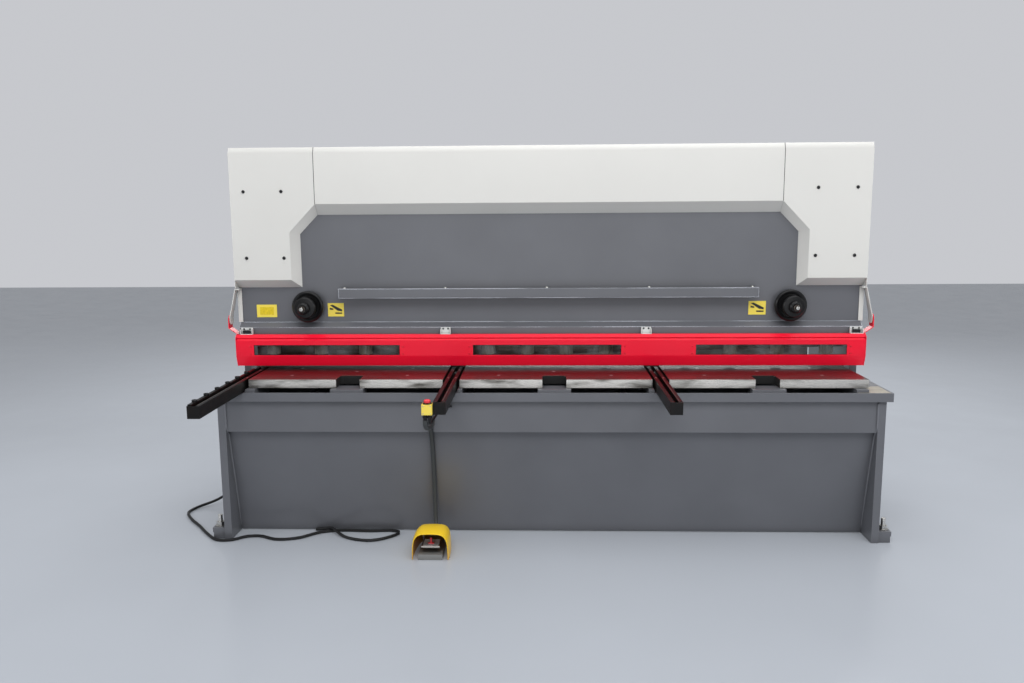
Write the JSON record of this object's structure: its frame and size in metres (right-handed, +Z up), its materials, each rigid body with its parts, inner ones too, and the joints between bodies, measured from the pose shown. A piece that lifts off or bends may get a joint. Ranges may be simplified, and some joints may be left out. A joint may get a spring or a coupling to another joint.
{
  "type": "hydraulic sheet metal shear",
  "caption": "Guillotine shear for sheet metal with slotted front support arms, hinged finger guard, hold-down cylinders and a screw-driven back gauge.",
  "frame": {"origin": "on the floor, halfway along the cut and straight below the lower blade's cutting edge; the underside of the bed's sole plate lies on z = 0", "axes": "+X to the operator's right along the cut, +Y from the operator towards the back gauge, +Z up"},
  "size_m": [3.6005, 1.79, 1.925],
  "materials": {
    "grey_paint": "satin",
    "cream_paint": "satin",
    "red_paint": "gloss",
    "clear_pane": "clear polycarbonate",
    "ground_steel": "ground, fine lines",
    "blade_steel": "ground",
    "machined_steel": "machined",
    "hard_chrome": "polished",
    "black_paint": "satin",
    "black_plastic": "moulded",
    "yellow_plastic": "moulded",
    "red_plastic": "moulded",
    "cable_rubber": "matte",
    "motor_paint": "satin"
  },
  "bodies": {
    "frame": {"side_frame_left": "grey_paint", "side_frame_right": "grey_paint", "bed_box": "grey_paint", "bed_plate": "grey_paint", "front_plate": "grey_paint", "ledge_rail": "grey_paint", "rear_shelf": "grey_paint", "oil_tank": "grey_paint", "end_cover_left": "cream_paint", "end_cover_right": "cream_paint", "top_cover": "cream_paint", "guard_bracket_left": "cream_paint", "guard_bracket_right": "cream_paint", "electric_cabinet": "cream_paint", "table_insert_left": "ground_steel", "table_insert_centre": "ground_steel", "table_insert_right": "ground_steel", "lower_blade": "blade_steel", "holddown_cylinders": "machined_steel", "main_cylinder_left": "machined_steel", "main_cylinder_right": "machined_steel", "side_gauge_arm": "black_paint", "support_arm_centre": "black_paint", "support_arm_right": "black_paint", "side_gauge_fence": "black_paint", "pedal_base": "black_plastic", "estop_box": "yellow_plastic", "pedal_hood": "yellow_plastic", "power_cable": "cable_rubber", "pump_motor": "motor_paint"},
    "blade_beam": {"blade_beam": "grey_paint", "upper_blade": "blade_steel", "piston_rod_left": "hard_chrome", "piston_rod_right": "hard_chrome"},
    "holddowns": {"holddown_plunger_1": "machined_steel", "holddown_plunger_2": "machined_steel", "holddown_plunger_3": "machined_steel", "holddown_plunger_4": "machined_steel", "holddown_plunger_5": "machined_steel", "holddown_plunger_6": "machined_steel", "holddown_plunger_7": "machined_steel", "holddown_plunger_8": "machined_steel", "holddown_plunger_9": "machined_steel", "holddown_plunger_10": "machined_steel", "holddown_plunger_11": "machined_steel", "holddown_plunger_12": "machined_steel", "holddown_plunger_13": "machined_steel", "holddown_plunger_14": "machined_steel"},
    "handwheel_left": {"handwheel_left": "black_plastic", "handwheel_spindle_left": "ground_steel"},
    "handwheel_right": {"handwheel_right": "black_plastic", "handwheel_spindle_right": "ground_steel"},
    "guard": {"guard": "red_paint", "guard_window": "clear_pane"},
    "back_gauge": {"back_gauge": "blade_steel"},
    "lead_screw_left": {"lead_screw_left": "ground_steel"},
    "lead_screw_right": {"lead_screw_right": "ground_steel"},
    "estop_button": {"estop_button": "red_plastic"},
    "pedal": {"pedal_lever": "machined_steel"},
    "cabinet_door": {"cabinet_door": "cream_paint"}
  },
  "joints": [
    {"name": "blade_stroke", "type": "slide", "parent": "frame", "child": "blade_beam", "axis": [0, 0, 1], "range_m": [-0.102, 0]},
    {"name": "holddown_stroke", "type": "slide", "parent": "frame", "child": "holddowns", "axis": [0, 0, 1], "range_m": [-0.0215, 0]},
    {"name": "handwheel_left_turn", "type": "hinge", "parent": "frame", "child": "handwheel_left", "pos_m": [-1.232, -0.057, 1.12], "axis": [0, -1, 0], "range_deg": [-180, 180]},
    {"name": "handwheel_right_turn", "type": "hinge", "parent": "frame", "child": "handwheel_right", "pos_m": [1.232, -0.057, 1.12], "axis": [0, -1, 0], "range_deg": [-180, 180]},
    {"name": "guard_swing", "type": "hinge", "parent": "frame", "child": "guard", "pos_m": [0, -0.07, 1.05], "axis": [-1, 0, 0], "range_deg": [0, 50]},
    {"name": "back_gauge_travel", "type": "slide", "parent": "frame", "child": "back_gauge", "axis": [0, 1, 0], "range_m": [-0.2, 0.33]},
    {"name": "lead_screw_left_turn", "type": "hinge", "parent": "frame", "child": "lead_screw_left", "pos_m": [-1.05, 0.4, 0.7], "axis": [0, 1, 0], "range_deg": [-3610, 5950]},
    {"name": "lead_screw_right_turn", "type": "hinge", "parent": "frame", "child": "lead_screw_right", "pos_m": [1.05, 0.4, 0.7], "axis": [0, 1, 0], "range_deg": [-3610, 5950]},
    {"name": "estop_press", "type": "slide", "parent": "frame", "child": "estop_button", "axis": [0, 0, -1], "range_m": [0, 0.006]},
    {"name": "pedal_press", "type": "hinge", "parent": "frame", "child": "pedal", "pos_m": [-0.546, -0.515, 0.048], "axis": [1, 0, 0], "range_deg": [0, 8]},
    {"name": "cabinet_door_swing", "type": "hinge", "parent": "frame", "child": "cabinet_door", "pos_m": [-1.5, 0.6078, 1.526], "axis": [0, 0, 1], "range_deg": [0, 110]}
  ],
  "couplings": [
    {"joint": "lead_screw_left_turn", "follows": "back_gauge_travel", "rad_per_m": 314.16},
    {"joint": "lead_screw_right_turn", "follows": "back_gauge_travel", "rad_per_m": 314.16}
  ]
}
